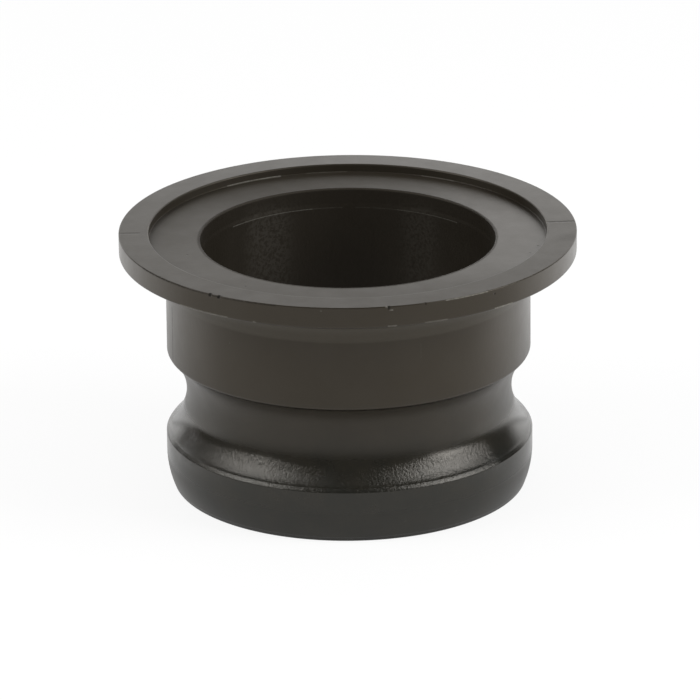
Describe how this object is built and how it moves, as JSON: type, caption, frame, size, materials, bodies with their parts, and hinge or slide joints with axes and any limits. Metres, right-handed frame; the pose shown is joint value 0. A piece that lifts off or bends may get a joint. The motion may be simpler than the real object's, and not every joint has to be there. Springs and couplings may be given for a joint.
{
  "type": "flanged cam-and-groove adapter",
  "caption": "Male cam-and-groove adapter with a clamp flange: a moulded pipe fitting that joins a quick coupler to a flanged manifold through a straight bore.",
  "frame": {"origin": "centre of the nose's end face, which the adapter stands on", "axes": "+Z along the bore, from the nose's end to the flange's face; X and Y are across the bore, with the mould's parting plane in X-Z"},
  "size_m": [0.1134, 0.1134, 0.0656],
  "materials": {
    "moulded_plastic": "satin charcoal, glass-filled polypropylene"
  },
  "bodies": {
    "root": {"adapter_body": "moulded_plastic"}
  },
  "joints": []
}
